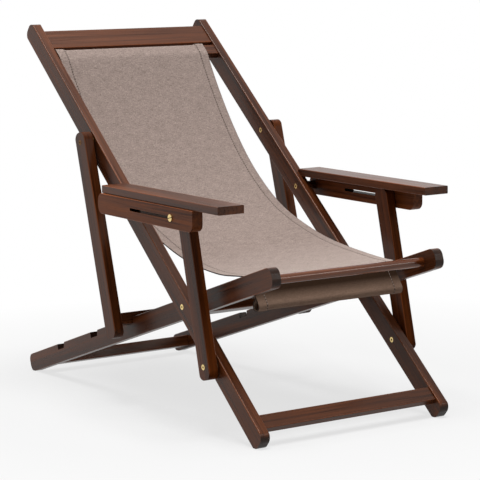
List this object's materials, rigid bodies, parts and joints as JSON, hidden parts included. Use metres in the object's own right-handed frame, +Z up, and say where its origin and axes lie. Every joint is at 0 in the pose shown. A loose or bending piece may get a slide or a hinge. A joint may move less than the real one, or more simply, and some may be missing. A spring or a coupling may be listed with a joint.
{
  "type": "deck chair",
  "caption": "Folding wooden deck chair: crossed back and seat frames, a prop frame in notches, slung canvas seat and folding armrests on slotted brackets.",
  "frame": {"origin": "centre of the bounding box on the floor, z = 0 at the feet", "axes": "+Z up, the sitter faces -Y, X across the chair"},
  "size_m": [0.6932, 1.2644, 0.9866],
  "materials": {
    "wood": "satin",
    "board_wood": "satin",
    "dowel_wood": "satin",
    "pale_wood": "plain",
    "brass": "satin",
    "canvas": "woven"
  },
  "bodies": {
    "back_frame": {"long_rail_left": "wood", "long_rail_right": "wood", "top_board": "wood", "sling_bar": "wood", "foot_crossbar": "wood", "frame_pivot_bolts": "brass", "frame_pivot_washers": "brass", "prop_pivot_bolts": "brass", "prop_pivot_washers": "brass", "arm_pivot_bolts": "brass", "arm_spacers": "wood", "post_pivot_bolts": "brass", "post_pivot_washers": "wood", "top_hem_dowel": "pale_wood", "sling": "canvas"},
    "seat_frame": {"seat_rail_left": "wood", "seat_rail_right": "wood", "front_dowel": "dowel_wood", "front_sling_bar": "wood", "seat_crossbar": "wood", "floor_crossbar": "wood", "front_hem_dowel": "pale_wood"},
    "prop_frame": {"prop_left": "wood", "prop_right": "wood", "prop_crossbar": "wood"},
    "arm_left": {"arm_bracket_left": "wood", "arm_board_left": "board_wood", "arm_dowels_left": "pale_wood"},
    "slot_screw_left": {"slot_screw_left": "brass"},
    "post_left": {"arm_post_left": "wood", "post_nut_left": "brass"},
    "arm_right": {"arm_bracket_right": "wood", "arm_board_right": "board_wood", "arm_dowels_right": "pale_wood"},
    "slot_screw_right": {"slot_screw_right": "brass"},
    "post_right": {"arm_post_right": "wood", "post_nut_right": "brass"}
  },
  "joints": [
    {"name": "frame_fold", "type": "hinge", "parent": "back_frame", "child": "seat_frame", "pos_m": [0, -0.27147, 0.2975], "axis": [-1, 0, 0], "range_deg": [0, 117], "deforming": ["sling"]},
    {"name": "prop_swing", "type": "hinge", "parent": "back_frame", "child": "prop_frame", "pos_m": [0, 0.17003, 0.68129], "axis": [-1, 0, 0], "range_deg": [0, 23.5]},
    {"name": "arm_fold_left", "type": "hinge", "parent": "back_frame", "child": "arm_left", "pos_m": [-0.3293, 0.00362, 0.53663], "axis": [1, 0, 0], "range_deg": [0, 39.5]},
    {"name": "screw_slide_left", "type": "slide", "parent": "arm_left", "child": "slot_screw_left", "axis": [0, 0.9997, 0.0227], "range_m": [0, 0.14978]},
    {"name": "post_swing_left", "type": "hinge", "parent": "slot_screw_left", "child": "post_left", "pos_m": [-0.299, -0.33629, 0.52892], "axis": [-1, 0, 0], "range_deg": [0, 76.03]},
    {"name": "arm_fold_right", "type": "hinge", "parent": "back_frame", "child": "arm_right", "pos_m": [0.3293, 0.00362, 0.53663], "axis": [1, 0, 0], "range_deg": [0, 39.5]},
    {"name": "screw_slide_right", "type": "slide", "parent": "arm_right", "child": "slot_screw_right", "axis": [0, 0.9997, 0.0227], "range_m": [0, 0.14978]},
    {"name": "post_swing_right", "type": "hinge", "parent": "slot_screw_right", "child": "post_right", "pos_m": [0.299, -0.33629, 0.52892], "axis": [-1, 0, 0], "range_deg": [0, 76.03]}
  ],
  "couplings": [
    {"joint": "prop_swing", "follows": "frame_fold", "ratio": 0.2},
    {"joint": "screw_slide_left", "follows": "arm_fold_left", "m_per_rad": 0.21654},
    {"joint": "post_swing_left", "follows": "arm_fold_left", "ratio": 1.9196},
    {"joint": "screw_slide_right", "follows": "arm_fold_right", "m_per_rad": 0.21654},
    {"joint": "post_swing_right", "follows": "arm_fold_right", "ratio": 1.9196}
  ]
}
